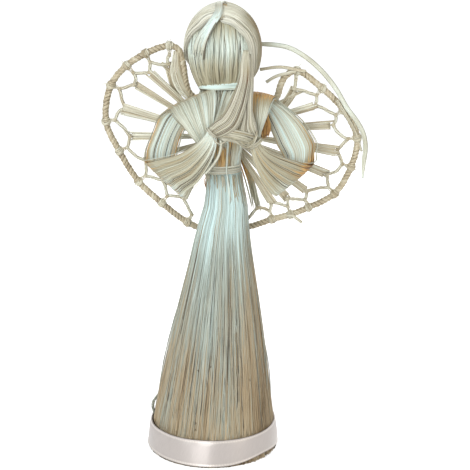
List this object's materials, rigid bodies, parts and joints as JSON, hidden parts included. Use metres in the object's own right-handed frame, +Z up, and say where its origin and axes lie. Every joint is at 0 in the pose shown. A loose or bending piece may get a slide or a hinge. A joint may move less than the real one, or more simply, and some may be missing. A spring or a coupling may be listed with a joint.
{
  "type": "angel ornament",
  "caption": "Standing abaca-fibre angel with a hollow cone skirt, satin hem, looped sleeves, praying hands and wire-rimmed lace wings that bend back.",
  "frame": {"origin": "on the floor, under the middle of the object's box measured without the loose strand", "axes": "+Z up, -Y is the way the face looks, +X to the right of someone who looks at the face"},
  "size_m": [0.1069, 0.055, 0.1788],
  "materials": {
    "abaca_pale": "silky pale fibre",
    "abaca_tan": "dry tan fibre",
    "abaca_honey": "honey fibre",
    "satin": "satin ribbon",
    "wire": "plain florist wire",
    "stiffener": "stiffened fibre felt"
  },
  "bodies": {
    "figure": {"skirt": "abaca_pale", "skirt_lining": "stiffener", "hem_ribbon": "satin", "bodice": "abaca_tan", "waist_tie": "abaca_honey", "chest_tie": "abaca_honey", "neck_tie": "abaca_pale", "head_wrap": "abaca_pale", "head_core": "stiffener", "hair_left": "abaca_pale", "hair_right": "abaca_pale", "crown_tie": "abaca_pale", "left_sleeve": "abaca_pale", "right_sleeve": "abaca_honey", "left_hand": "abaca_pale", "right_hand": "abaca_pale", "wrist_tie": "abaca_honey"},
    "left_wing": {"left_wing_rim": "abaca_tan", "left_wing_wire": "wire", "left_wing_root": "abaca_honey", "left_wing_lace": "abaca_pale", "left_wing_strip_1": "abaca_tan", "left_wing_strip_2": "abaca_tan", "left_wing_strip_3": "abaca_tan", "left_wing_strip_4": "abaca_tan", "left_wing_strip_5": "abaca_tan", "left_wing_strip_6": "abaca_tan", "left_wing_strip_7": "abaca_tan", "left_wing_strip_8": "abaca_tan"},
    "right_wing": {"right_wing_rim": "abaca_tan", "right_wing_wire": "wire", "right_wing_root": "abaca_honey", "right_wing_lace": "abaca_pale", "right_wing_strip_1": "abaca_tan", "right_wing_strip_2": "abaca_tan", "right_wing_strip_3": "abaca_tan", "right_wing_strip_4": "abaca_tan", "right_wing_strip_5": "abaca_tan", "right_wing_strip_6": "abaca_tan", "right_wing_strip_7": "abaca_tan", "right_wing_strip_8": "abaca_tan", "loose_strand": "abaca_pale"}
  },
  "joints": [
    {"name": "left_wing_bend", "type": "hinge", "parent": "figure", "child": "left_wing", "pos_m": [-0.00604, 0.01052, 0.114], "axis": [0, 0.0701, -0.9975], "range_deg": [-8, 40]},
    {"name": "right_wing_bend", "type": "hinge", "parent": "figure", "child": "right_wing", "pos_m": [-0.00084, 0.01052, 0.114], "axis": [0, -0.0701, 0.9975], "range_deg": [-8, 40]}
  ]
}
